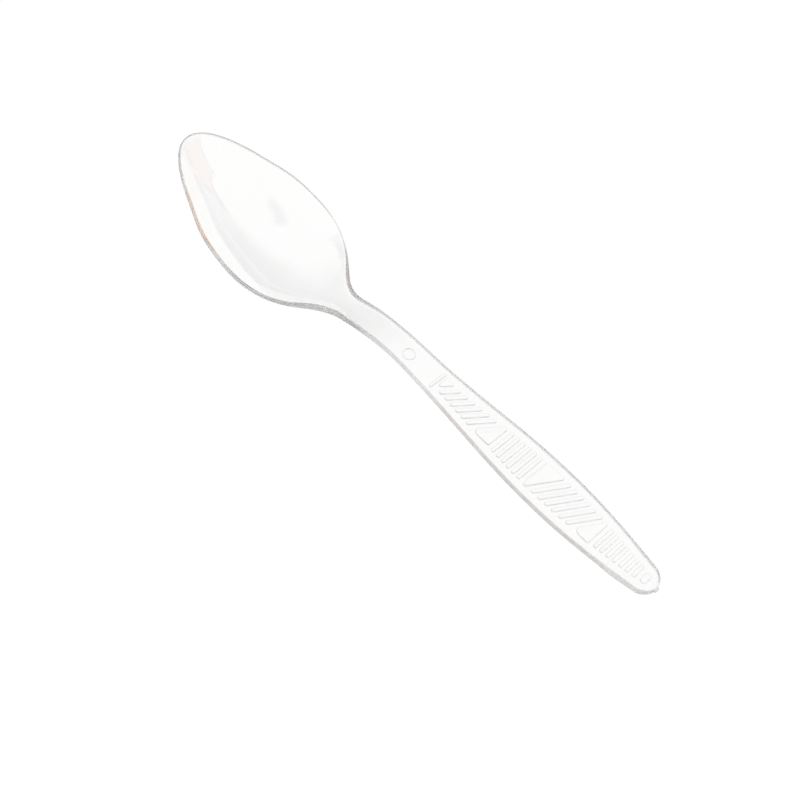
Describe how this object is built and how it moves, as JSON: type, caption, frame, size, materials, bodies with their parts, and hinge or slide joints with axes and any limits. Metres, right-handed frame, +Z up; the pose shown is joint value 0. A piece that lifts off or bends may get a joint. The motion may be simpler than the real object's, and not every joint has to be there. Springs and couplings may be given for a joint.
{
  "type": "disposable plastic spoon",
  "caption": "Clear disposable plastic spoon with an egg-shaped bowl and a raised grip pattern on its handle.",
  "frame": {"origin": "middle of the spoon's length and width, at the height of the table it rests on", "axes": "+X from the bowl's tip to the handle's end, +Y across to the left as seen from the bowl's side looking along +X, +Z up from the table"},
  "size_m": [0.1654, 0.0344, 0.0176],
  "materials": {
    "clear_plastic": "glossy clear"
  },
  "bodies": {
    "root": {"spoon": "clear_plastic"}
  },
  "joints": []
}
